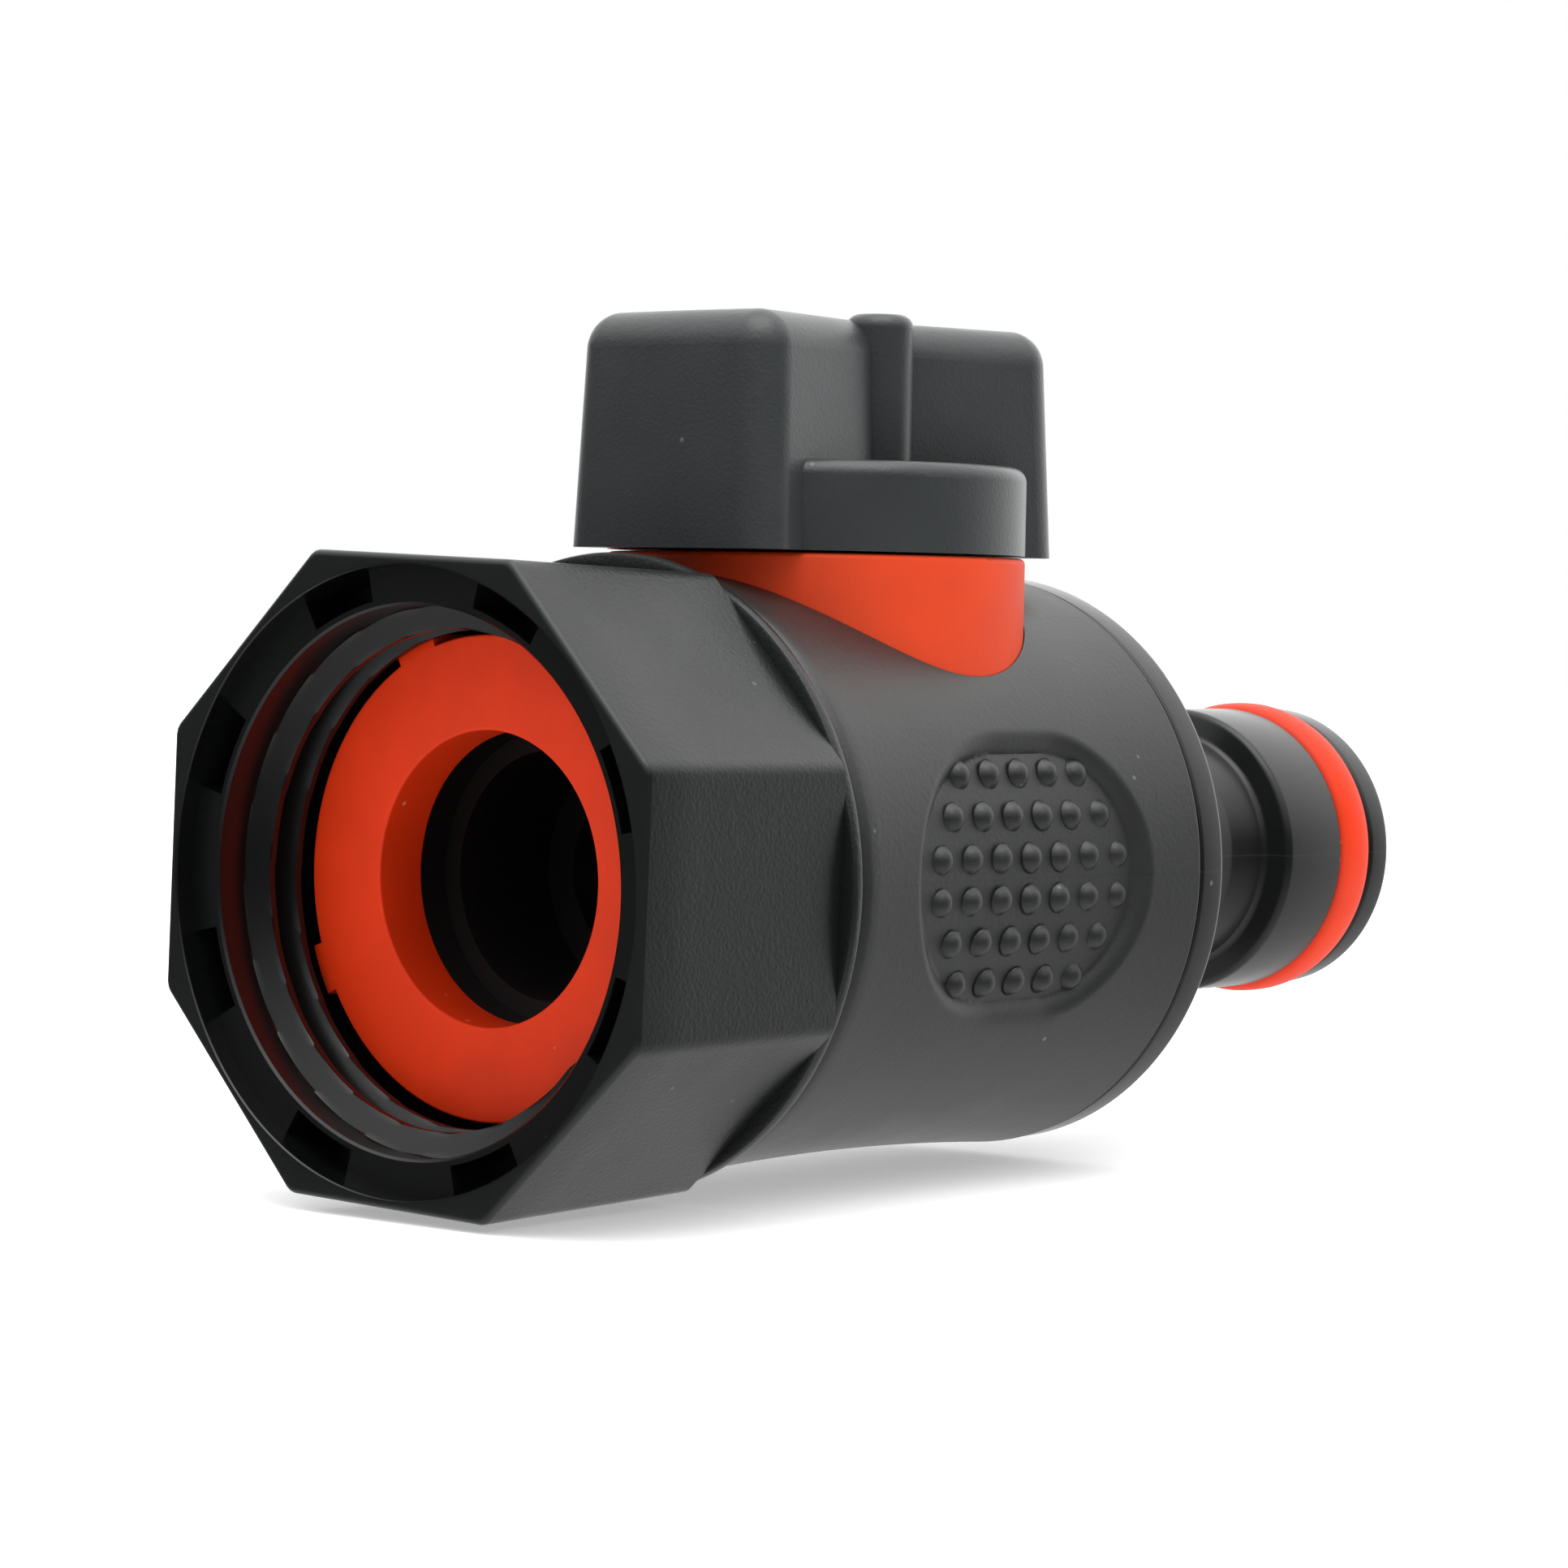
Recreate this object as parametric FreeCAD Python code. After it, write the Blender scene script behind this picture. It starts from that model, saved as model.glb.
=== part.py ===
"""In-line garden-hose shut-off valve: swivel tap nut, quarter-turn ball valve, quick-connect nipple.

Frame: origin at the centre of the inlet washer's sealing face, +X along the water flow to the
outlet, +Z up the valve stem. Millimetres. Each piece is one solid, written to parts/NODE.step.
"""
import FreeCAD, Part
import math
import os

V = FreeCAD.Vector
X = V(1, 0, 0)
Y = V(0, 1, 0)
Z = V(0, 0, 1)

# ---- clearances -------------------------------------------------------------------------------
fit_gap = 0.05            # between pieces that are pressed, screwed or moulded together
running_gap = 0.05        # between a turning piece and what guides it
free_gap = 0.3            # between moving pieces that must not touch
deck_gap = 0.12           # under the handle, where it turns on the turret

# ---- inlet: G3/4 swivel nut and washer ----------------------------------------------------------
thread_major_r = 13.22
thread_minor_r = 12.06
thread_pitch = 1.814
thread_crest_flat = 0.30
thread_flank_angle = 27.5
nut_mouth_depth = 6.0     # mouth of the nut to the washer's sealing face
nut_land_length = 1.9     # plain wall between the last thread and the washer
nut_across_flats = 31.0
nut_sides = 8
nut_taper = 0.7           # how much smaller the nut is across its flats at the rear
nut_corner_r = 0.8
nut_mouth_bevel = 0.4
nut_hex_length = 14.5
nut_flange_step = 0.5     # rear flange outside the flats
nut_flange_thickness = 0.8
nut_rim_width = 0.4       # thinnest part of the rim round the counterbore
nut_counterbore_depth = 0.8
nut_notch_wall = 0.38     # between the notches and the thread
nut_notch_depth = 2.5
nut_notch_angle = 17.0

washer_thickness = 3.0
washer_bore_r = 7.2
washer_edge_gap = 0.36    # washer's edge inside the thread's crests
washer_tab_hold = 0.34    # tabs beyond the crests, so that the washer stays in
washer_tab_room = 0.8     # tabs to the wall of their chamber
washer_tab_width = 2.5
washer_tab_count = 4
washer_tab_angle = 24.5   # first tab, from the top towards +Y
washer_tab_inset = 0.4    # tab faces lie back from the washer's two faces

spud_flange_thickness = 2.0
spud_recess_depth = 1.7
spud_mouth_r = 6.2        # bore inside the sleeve, wider than the plug's
spud_shoulder = 0.75      # step from the sleeve down to the plug in the body

# ---- ball, seats and stem -----------------------------------------------------------------------
stem_x = 24.7             # stem axis, from the sealing face
flow_bore_r = 4.5
ball_r = 8.0
ball_room = 0.6           # between the ball and the body's bore
seat_inner_r = 5.2
seat_bite = 3.6           # how far the seats' faces reach past the ball's pole
seat_length = 2.4
seat_ring_section = 1.5
seat_ring_room = 0.2
plug_ring_section = 1.6

tongue_width = 2.4
tongue_length = 8.0
tongue_depth = 1.8        # into the ball's slot
shoulder_lift = 0.9       # stem's shoulder above the ball
stem_shoulder_r = 4.6
stem_shoulder_height = 1.25
thrust_washer_height = 1.0
stem_r = 3.45
stem_ring_section = 1.0
stem_ring_pitch = 2.0
stem_ring_cover = 1.5     # lower ring above the thrust washer's ledge
stem_drive_r = 2.9
stem_drive_flat = 2.1     # half the distance across the drive's two flats
stem_drive_height = 7.0
screw_r = 1.25
screw_length = 9.5
screw_head_r = 2.6
screw_head_height = 1.8

# ---- valve body and soft grip -------------------------------------------------------------------
grip_front_x = 10.1
grip_rear_x = 38.4
body_wall = 4.35
grip_thickness = 1.97     # at the waist, the body's wall to the grip's skin
grip_front_flare = 0.38
grip_lip_flare = 0.51
grip_front_wall = 1.1
grip_edge_r = 0.8
grip_lip_edge = 0.3
turret_r = 10.9
turret_rise = 1.28        # turret's deck above the grip's waist
turret_edge_r = 0.3

pad_front_reach = 10.0    # thumb pad's outline, from the stem axis towards the inlet
pad_rear_reach = 9.6
pad_straight_front = 1.0
pad_straight_rear = 2.8
pad_half_height = 7.5
pad_depth = 0.7

# ---- handle -------------------------------------------------------------------------------------
handle_disc_height = 4.6
handle_disc_edge_r = 0.8
handle_height = 12.0
handle_end_x = 12.35
handle_end_y = 7.1
handle_waist_y = 4.8
handle_end_bulge = 0.45
handle_draft = 0.45       # each side's lean over the full height
handle_edge_r = 1.9       # the wings' upright corners and top edges
handle_wall = 1.7
handle_boss_r = 1.75
handle_boss_y = 3.95
handle_boss_rise = 0.3
handle_boss_edge_r = 0.7
handle_seat_height = 1.0  # web under the screw's head
handle_turn = 90.0
lug_inner_r = 6.5
lug_outer_r = 8.5
lug_angle = 45.0
lug_half_angle = 7.0
lug_height = 1.6

# ---- outlet nipple ------------------------------------------------------------------------------
rim_step = 0.08           # rim inside the grip's lip
rim_length = 2.3
rim_bevel = 0.6
hub_r = 9.6
hub_rear_r = 8.9
hub_length = 6.0
collar_r = 8.6
collar_length = 1.9
neck_r = 6.2
neck_end_r = 6.65
neck_length = 8.9
neck_fillet_length = 3.0
barrel_r = 8.1
barrel_length = 5.4
tip_ring_outer_r = 8.3
tip_ring_section = 2.9
tip_land_length = 2.0

# ---- radii worked out from the sizes above ------------------------------------------------------
body_bore_r = ball_r + ball_room
body_r = body_bore_r + body_wall
plug_r = body_bore_r - fit_gap
plug_ring_mean_r = plug_r - plug_ring_section / 2
seat_ring_mean_r = plug_r - seat_ring_room - seat_ring_section / 2
grip_waist_r = body_r + grip_thickness
grip_front_r = grip_waist_r + grip_front_flare
grip_lip_r = grip_waist_r + grip_lip_flare
rim_r = grip_lip_r - rim_step
spud_sleeve_r = plug_r + spud_shoulder
washer_r = thread_minor_r - washer_edge_gap
washer_tab_r = thread_minor_r + washer_tab_hold
nut_relief_r = washer_tab_r + washer_tab_room
nut_flange_r = nut_across_flats / 2 + nut_flange_step
nut_counterbore_r = nut_across_flats / 2 - nut_rim_width
nut_notch_inner_r = thread_major_r + nut_notch_wall
spud_flange_r = washer_r
stem_bore_r = stem_r + running_gap
stem_ring_mean_r = stem_r - stem_ring_section / 2
counterbore_r = stem_shoulder_r + free_gap + fit_gap
tip_ring_mean_r = tip_ring_outer_r - tip_ring_section / 2

# ---- places along the flow ----------------------------------------------------------------------
nut_mouth_x = -nut_mouth_depth
nut_hex_rear_x = nut_mouth_x + nut_hex_length
nut_rear_x = nut_hex_rear_x + nut_flange_thickness
spud_front_x = washer_thickness
spud_flange_rear_x = spud_front_x + spud_flange_thickness
nut_shoulder_x = spud_flange_rear_x + free_gap
body_front_x = grip_front_x + grip_front_wall + fit_gap
inlet_seat_x = stem_x - ball_r + seat_bite - seat_length
outlet_seat_x = stem_x + ball_r - seat_bite
spud_tail_x = inlet_seat_x - seat_ring_section - 2 * fit_gap
nipple_tail_x = outlet_seat_x + seat_length + seat_ring_section + 2 * fit_gap
rim_x = grip_rear_x + fit_gap
rim_rear_x = rim_x + rim_length
spud_ring_x = (body_front_x + spud_tail_x) / 2
nipple_ring_x = (nipple_tail_x + rim_x) / 2
collar_x = rim_rear_x + hub_length
neck_x = collar_x + collar_length
barrel_x = neck_x + neck_length
tip_ring_x = barrel_x + barrel_length
tip_land_x = tip_ring_x + tip_ring_section + 2 * fit_gap
tip_x = tip_land_x + tip_land_length

# ---- heights on the stem axis -------------------------------------------------------------------
tongue_bottom_z = ball_r - tongue_depth
stem_shoulder_z = ball_r + shoulder_lift
shoulder_top_z = stem_shoulder_z + stem_shoulder_height
thrust_z = shoulder_top_z + running_gap
ledge_z = thrust_z + thrust_washer_height
stem_ring_z = (ledge_z + stem_ring_cover, ledge_z + stem_ring_cover + stem_ring_pitch)
turret_top_z = grip_waist_r + turret_rise
stem_top_z = turret_top_z + stem_drive_height
handle_z = turret_top_z + deck_gap
handle_top_z = handle_z + handle_height
screw_seat_z = stem_top_z + running_gap + handle_seat_height
STEM = V(stem_x, 0, 0)


# ---- helpers ------------------------------------------------------------------------------------
def spun(points):
    """Solid turned about the flow axis from an (x, r) outline."""
    outline = [V(x, 0, r) for x, r in points]
    face = Part.Face(Part.makePolygon(outline + outline[:1]))
    return face.revolve(V(0, 0, 0), X, 360)


def tube_x(x0, x1, outer, inner=0.0):
    """Round bar or tube along the flow axis."""
    bar = Part.makeCylinder(outer, x1 - x0, V(x0, 0, 0), X)
    if inner:
        bar = bar.cut(Part.makeCylinder(inner, x1 - x0 + 2, V(x0 - 1, 0, 0), X))
    return bar


def tube_z(z0, z1, outer, inner=0.0):
    """Round bar or tube along the stem axis."""
    bar = Part.makeCylinder(outer, z1 - z0, V(stem_x, 0, z0), Z)
    if inner:
        bar = bar.cut(Part.makeCylinder(inner, z1 - z0 + 2, V(stem_x, 0, z0 - 1), Z))
    return bar


def ring_x(x, mean_r, section):
    """O-ring about the flow axis, its section centred at x."""
    return Part.makeTorus(mean_r, section / 2, V(x, 0, 0), X)


def ring_z(z, mean_r, section):
    """O-ring about the stem axis."""
    return Part.makeTorus(mean_r, section / 2, V(stem_x, 0, z), Z)


def sector_z(z0, z1, inner, outer, start, end):
    """Part of a flat ring about the stem axis, between two angles from +X."""
    piece = Part.makeCylinder(outer, z1 - z0, V(0, 0, z0), Z, end - start)
    piece = piece.cut(Part.makeCylinder(inner, z1 - z0 + 2, V(0, 0, z0 - 1), Z))
    piece.rotate(V(0, 0, 0), Z, start)
    piece.translate(STEM)
    return piece


def octagon(x, across_flats, corner_r):
    """Wire across the flow axis with a flat on top and small rounded corners."""
    corner = across_flats / 2 / math.cos(math.pi / nut_sides)
    step = 2 * math.pi / nut_sides
    back = corner_r * math.tan(step / 2)
    edges = []
    for i in range(nut_sides):
        angles = [step * (i + k + 0.5) for k in (-1, 0, 1)]
        before, here, after = [V(x, corner * math.sin(a), corner * math.cos(a)) for a in angles]
        into = (here - before).normalize()
        out = (after - here).normalize()
        outward = V(0, here.y, here.z).normalize()
        crown = corner - corner_r * (1 / math.cos(step / 2) - 1)
        start = here - into * back
        end = here + out * back
        edges.append(Part.Arc(start, V(x, 0, 0) + outward * crown, end).toShape())
        ahead = after - out * back
        edges.append(Part.makeLine(end, ahead))
    return Part.Wire(edges)


def save(name, shape):
    """Write one node as its own STEP file."""
    solids = shape.Solids
    shape = solids[0] if len(solids) == 1 else shape
    print("%-22s solids %d valid %s volume %.1f" % (name, len(solids), shape.isValid(), shape.Volume))
    shape.exportStep("parts/%s.step" % name)


os.makedirs("parts", exist_ok=True)


# ---- inlet pieces -------------------------------------------------------------------------------
def swivel_nut():
    mouth = octagon(nut_mouth_x, nut_across_flats - 2 * nut_mouth_bevel, nut_corner_r)
    front = octagon(nut_mouth_x + nut_mouth_bevel, nut_across_flats, nut_corner_r)
    rear = octagon(nut_hex_rear_x, nut_across_flats - nut_taper, nut_corner_r)
    nut = Part.makeLoft([mouth, front], True, True)
    nut = nut.fuse(Part.makeLoft([front, rear], True, True))
    nut = nut.fuse(tube_x(nut_hex_rear_x, nut_rear_x, nut_flange_r))

    # Bore from the mouth inwards: counterbore, truncated 55 degree thread, land, tab chamber.
    thread_x = nut_mouth_x + nut_counterbore_depth
    land_x = -nut_land_length
    flank = (thread_major_r - thread_minor_r) * math.tan(math.radians(thread_flank_angle))
    root_flat = thread_pitch - 2 * flank - thread_crest_flat
    bore = [(nut_mouth_x - 1, 0), (nut_mouth_x - 1, nut_counterbore_r), (thread_x, nut_counterbore_r)]
    bore += [(thread_x, thread_major_r)]
    x = land_x
    crests = []
    while x - 2 * flank - root_flat > thread_x + 0.2:
        crests.append((x, thread_minor_r))
        crests.append((x - flank, thread_major_r))
        crests.append((x - flank - root_flat, thread_major_r))
        crests.append((x - 2 * flank - root_flat, thread_minor_r))
        x -= thread_pitch
    crests.append((max(x, thread_x + flank), thread_minor_r))
    bore += crests[::-1]
    bore += [(0, thread_minor_r), (0, nut_relief_r), (nut_shoulder_x, nut_relief_r)]
    bore += [(nut_shoulder_x, spud_sleeve_r + free_gap), (nut_rear_x + 1, spud_sleeve_r + free_gap)]
    bore += [(nut_rear_x + 1, 0)]
    nut = nut.cut(spun(bore))

    notch = Part.makeCylinder(nut_counterbore_r, nut_notch_depth, V(0, 0, 0), Z, nut_notch_angle)
    notch = notch.cut(Part.makeCylinder(nut_notch_inner_r, nut_notch_depth, V(0, 0, 0), Z))
    notch.rotate(V(0, 0, 0), Z, -nut_notch_angle / 2)
    notch.rotate(V(0, 0, 0), Y, 90)
    notch.translate(V(thread_x, 0, 0))
    for i in range(nut_sides):
        turned = notch.copy()
        turned.rotate(V(0, 0, 0), X, 360.0 / nut_sides * (i + 0.5))
        nut = nut.cut(turned)
    return nut


def inlet_washer():
    washer = tube_x(0, washer_thickness, washer_r)
    tab_length = washer_thickness - 2 * washer_tab_inset
    for i in range(washer_tab_count):
        tab = Part.makeBox(tab_length, washer_tab_width, washer_tab_r,
                           V(washer_tab_inset, -washer_tab_width / 2, 0))
        tab = tab.common(tube_x(0, washer_thickness, washer_tab_r))
        tab.rotate(V(0, 0, 0), X, -washer_tab_angle - 360.0 / washer_tab_count * i)
        washer = washer.fuse(tab)
    return washer.cut(tube_x(-1, washer_thickness + 1, washer_bore_r))


def plug_groove(x):
    """Groove for the seal round a plug in the body's bore."""
    half = plug_ring_section / 2 + fit_gap
    return tube_x(x - half, x + half, plug_r + 1, plug_ring_mean_r - half)


def inlet_spud():
    spud = tube_x(spud_front_x, spud_flange_rear_x, spud_flange_r)
    spud = spud.fuse(tube_x(spud_flange_rear_x, body_front_x, spud_sleeve_r))
    spud = spud.fuse(tube_x(body_front_x, spud_tail_x, plug_r))
    spud = spud.cut(tube_x(spud_front_x - 1, spud_front_x + spud_recess_depth, washer_bore_r))
    spud = spud.cut(tube_x(spud_front_x, body_front_x, spud_mouth_r))
    spud = spud.cut(tube_x(spud_front_x, spud_tail_x + 1, flow_bore_r))
    return spud.cut(plug_groove(spud_ring_x))


save("swivel_nut", swivel_nut())
save("inlet_washer", inlet_washer())
save("inlet_spud", inlet_spud())
save("spud_o_ring", ring_x(spud_ring_x, plug_ring_mean_r, plug_ring_section))


# ---- valve body and grip ------------------------------------------------------------------------
def valve_body():
    body = tube_x(body_front_x, grip_rear_x, body_r)
    turret = tube_z(0, turret_top_z, turret_r)
    turret = turret.makeFillet(turret_edge_r, [e for e in turret.Edges if e.BoundBox.ZMin > 1])
    body = body.fuse(turret)
    stop_lug = sector_z(turret_top_z - 0.5, turret_top_z + lug_height, lug_inner_r, lug_outer_r,
                        lug_angle - lug_half_angle, lug_angle + lug_half_angle)
    body = body.fuse(stop_lug)
    body = body.cut(tube_x(body_front_x - 1, grip_rear_x + 1, body_bore_r))
    body = body.cut(tube_z(0, ledge_z, counterbore_r))
    return body.cut(tube_z(0, turret_top_z + 1, stem_bore_r))


def half_reach(x, reach, high):
    """Upright elliptical bar along Y, its section centred at x in the plane z = 0."""
    across = V(x + reach, 0, 0)
    up = V(x, 0, high)
    ends = (up, across) if high > reach else (across, up)
    face = Part.Face(Part.Wire(Part.Ellipse(*ends, V(x, 0, 0)).toShape()))
    return face.extrude(Y * (grip_lip_r + 2))


def thumb_pad():
    """Bar along +Y with the pad's outline: a long half-ellipse towards the inlet and a shorter one
    towards the outlet, joined by two straight stretches."""
    front_x = stem_x - pad_straight_front
    rear_x = stem_x + pad_straight_rear
    middle = Part.makeBox(rear_x - front_x, grip_lip_r + 2, 2 * pad_half_height,
                          V(front_x, 0, -pad_half_height))
    front = half_reach(front_x, pad_front_reach - pad_straight_front, pad_half_height)
    rear = half_reach(rear_x, pad_rear_reach - pad_straight_rear, pad_half_height)
    return middle.fuse([front, rear])


def grip_sleeve():
    inner = body_r + fit_gap
    core_r = spud_sleeve_r + 2 * fit_gap
    front = grip_front_x
    rear = grip_rear_x
    edge = grip_edge_r
    lip = grip_lip_edge
    waist_edges = [
        Part.makeLine(V(front, 0, core_r), V(front, 0, grip_front_r - edge)),
        Part.Arc(V(front, 0, grip_front_r - edge),
                 V(front + edge * (1 - math.sqrt(0.5)), 0, grip_front_r - edge * (1 - math.sqrt(0.5))),
                 V(front + edge, 0, grip_front_r)).toShape(),
        Part.Arc(V(front + edge, 0, grip_front_r), V(stem_x + 1, 0, grip_waist_r),
                 V(rear - lip, 0, grip_lip_r)).toShape(),
        Part.makeLine(V(rear - lip, 0, grip_lip_r), V(rear, 0, grip_lip_r - lip)),
        Part.makeLine(V(rear, 0, grip_lip_r - lip), V(rear, 0, inner)),
        Part.makeLine(V(rear, 0, inner), V(body_front_x - fit_gap, 0, inner)),
        Part.makeLine(V(body_front_x - fit_gap, 0, inner), V(body_front_x - fit_gap, 0, core_r)),
        Part.makeLine(V(body_front_x - fit_gap, 0, core_r), V(front, 0, core_r)),
    ]
    sleeve = Part.Face(Part.Wire(waist_edges)).revolve(V(0, 0, 0), X, 360)
    sleeve = sleeve.cut(tube_z(0, turret_top_z + 5, turret_r + fit_gap))

    floor_r = grip_waist_r - pad_depth
    pocket = thumb_pad().common(tube_x(front, rear, grip_lip_r + 1, floor_r))
    return sleeve.cut([pocket, pocket.mirror(V(0, 0, 0), Y)])


save("valve_body", valve_body())
save("grip_sleeve", grip_sleeve())


# ---- ball, seats and their springing rings ------------------------------------------------------
def valve_ball():
    ball = Part.makeSphere(ball_r, STEM)
    ball = ball.cut(tube_x(stem_x - ball_r - 1, stem_x + ball_r + 1, flow_bore_r))
    slot_floor = tongue_bottom_z - 2 * running_gap
    width = tongue_width + 2 * running_gap
    slot = Part.makeBox(width, 2 * ball_r + 2, ball_r,
                        V(stem_x - width / 2, -ball_r - 1, slot_floor))
    return ball.cut(slot)


def seat(x):
    ring = tube_x(x, x + seat_length, plug_r, seat_inner_r)
    return ring.cut(Part.makeSphere(ball_r + running_gap, STEM))


save("valve_ball", valve_ball())
save("inlet_seat", seat(inlet_seat_x))
save("outlet_seat", seat(outlet_seat_x))
half_ring = seat_ring_section / 2 + fit_gap
save("inlet_seat_o_ring", ring_x(inlet_seat_x - half_ring, seat_ring_mean_r, seat_ring_section))
save("outlet_seat_o_ring",
     ring_x(outlet_seat_x + seat_length + half_ring, seat_ring_mean_r, seat_ring_section))


# ---- stem and its seals -------------------------------------------------------------------------
def drive_bar(z0, z1, radius, flat):
    """Round bar with two flats, the stem's drive for the handle."""
    bar = tube_z(z0, z1, radius)
    return bar.common(Part.makeBox(2 * radius, 2 * flat, z1 - z0, V(stem_x - radius, -flat, z0)))


def valve_stem():
    stem = Part.makeBox(tongue_width, tongue_length, stem_shoulder_z - tongue_bottom_z,
                        V(stem_x - tongue_width / 2, -tongue_length / 2, tongue_bottom_z))
    stem = stem.fuse(tube_z(stem_shoulder_z, shoulder_top_z, stem_shoulder_r))
    stem = stem.fuse(tube_z(shoulder_top_z, turret_top_z, stem_r))
    stem = stem.fuse(drive_bar(turret_top_z, stem_top_z, stem_drive_r, stem_drive_flat))
    half = stem_ring_section / 2 + fit_gap
    for z in stem_ring_z:
        stem = stem.cut(tube_z(z - half, z + half, stem_r + 1, stem_r - stem_ring_section - fit_gap))
    pilot_z = screw_seat_z - screw_length - fit_gap
    return stem.cut(tube_z(pilot_z, stem_top_z + 1, screw_r + fit_gap))


save("valve_stem", valve_stem())
save("stem_o_ring_lower", ring_z(stem_ring_z[0], stem_ring_mean_r, stem_ring_section))
save("stem_o_ring_upper", ring_z(stem_ring_z[1], stem_ring_mean_r, stem_ring_section))
save("stem_thrust_washer",
     tube_z(thrust_z, ledge_z, counterbore_r - fit_gap, stem_r + 2 * running_gap))


# ---- handle and its screw -----------------------------------------------------------------------
def bow_tie(z, inset):
    """Outline of the handle's two wings at one height, each end slightly bowed."""
    end_x = handle_end_x - inset
    end_y = handle_end_y - inset
    waist = handle_waist_y - inset
    crown = end_x + handle_end_bulge
    edges = [
        Part.makeLine(V(end_x, end_y, z), V(0, waist, z)),
        Part.makeLine(V(0, waist, z), V(-end_x, end_y, z)),
        Part.Arc(V(-end_x, end_y, z), V(-crown, 0, z), V(-end_x, -end_y, z)).toShape(),
        Part.makeLine(V(-end_x, -end_y, z), V(0, -waist, z)),
        Part.makeLine(V(0, -waist, z), V(end_x, -end_y, z)),
        Part.Arc(V(end_x, -end_y, z), V(crown, 0, z), V(end_x, end_y, z)).toShape(),
    ]
    return Part.Wire(edges)


def handle():
    wings = Part.makeLoft([bow_tie(handle_z, 0), bow_tie(handle_top_z, handle_draft)], True, True)
    uprights = [e for e in wings.Edges if e.BoundBox.ZLength > 1 and abs(e.BoundBox.Center.x) > 5]
    top = [e for e in wings.Edges if e.BoundBox.ZMin > handle_top_z - 0.01]
    wings = wings.makeFillet(handle_edge_r, uprights + top)
    for side in (1, -1):
        boss = Part.makeCylinder(handle_boss_r, handle_height + handle_boss_rise,
                                 V(0, side * handle_boss_y, handle_z), Z)
        boss_top = [e for e in boss.Edges if e.BoundBox.ZMin > handle_top_z]
        wings = wings.fuse(boss.makeFillet(handle_boss_edge_r, boss_top))
    disc = Part.makeCylinder(turret_r, handle_disc_height, V(0, 0, handle_z), Z)
    disc_top = [e for e in disc.Edges if e.BoundBox.ZMin > handle_z + 1]
    solid = wings.fuse(disc.makeFillet(handle_disc_edge_r, disc_top))

    # The wings are cored out from below; the hub between the two pockets takes the stem.
    pocket_start = stem_shoulder_r + handle_wall
    slope = (handle_end_y - handle_waist_y) / handle_end_x
    for side in (1, -1):
        inner_y = handle_waist_y + slope * pocket_start - handle_wall
        outer_x = handle_end_x - handle_wall
        outer_y = handle_waist_y + slope * outer_x - handle_wall
        corners = [V(side * pocket_start, -inner_y, handle_z), V(side * outer_x, -outer_y, handle_z),
                   V(side * outer_x, outer_y, handle_z), V(side * pocket_start, inner_y, handle_z)]
        pocket = Part.Face(Part.makePolygon(corners + corners[:1]))
        solid = solid.cut(pocket.extrude(Z * (handle_height - handle_wall)))
    solid.translate(STEM)

    solid = solid.cut(drive_bar(handle_z - 1, stem_top_z + running_gap,
                                stem_drive_r + fit_gap, stem_drive_flat + fit_gap))
    solid = solid.cut(tube_z(stem_top_z, screw_seat_z + 1, screw_r + 2 * fit_gap))
    solid = solid.cut(tube_z(screw_seat_z, handle_top_z + 2, screw_head_r + free_gap))
    # Arc-shaped channel in the underside: the body's stop lug meets its ends at open and shut.
    slack = math.degrees(free_gap / lug_inner_r)
    channel = sector_z(handle_z - 1, handle_z + lug_height, lug_inner_r - free_gap,
                       lug_outer_r + free_gap, lug_angle - lug_half_angle - slack,
                       lug_angle + lug_half_angle + handle_turn + slack)
    return solid.cut(channel)


def handle_screw():
    screw = tube_z(screw_seat_z - screw_length, screw_seat_z, screw_r)
    head = tube_z(screw_seat_z + fit_gap / 2, screw_seat_z + screw_head_height, screw_head_r)
    head_top = [e for e in head.Edges if e.BoundBox.ZMin > screw_seat_z + 1]
    screw = screw.fuse(tube_z(screw_seat_z - 0.5, screw_seat_z + 0.5, screw_r))
    screw = screw.fuse(head.makeFillet(screw_head_r * 0.3, head_top))
    arm = screw_head_r * 0.6
    slot = screw_head_r * 0.14
    recess_z = screw_seat_z + screw_head_height * 0.45
    for half_x, half_y in ((arm, slot), (slot, arm)):
        screw = screw.cut(Part.makeBox(2 * half_x, 2 * half_y, screw_head_height,
                                       V(stem_x - half_x, -half_y, recess_z)))
    return screw


save("handle", handle())
save("handle_screw", handle_screw())


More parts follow.
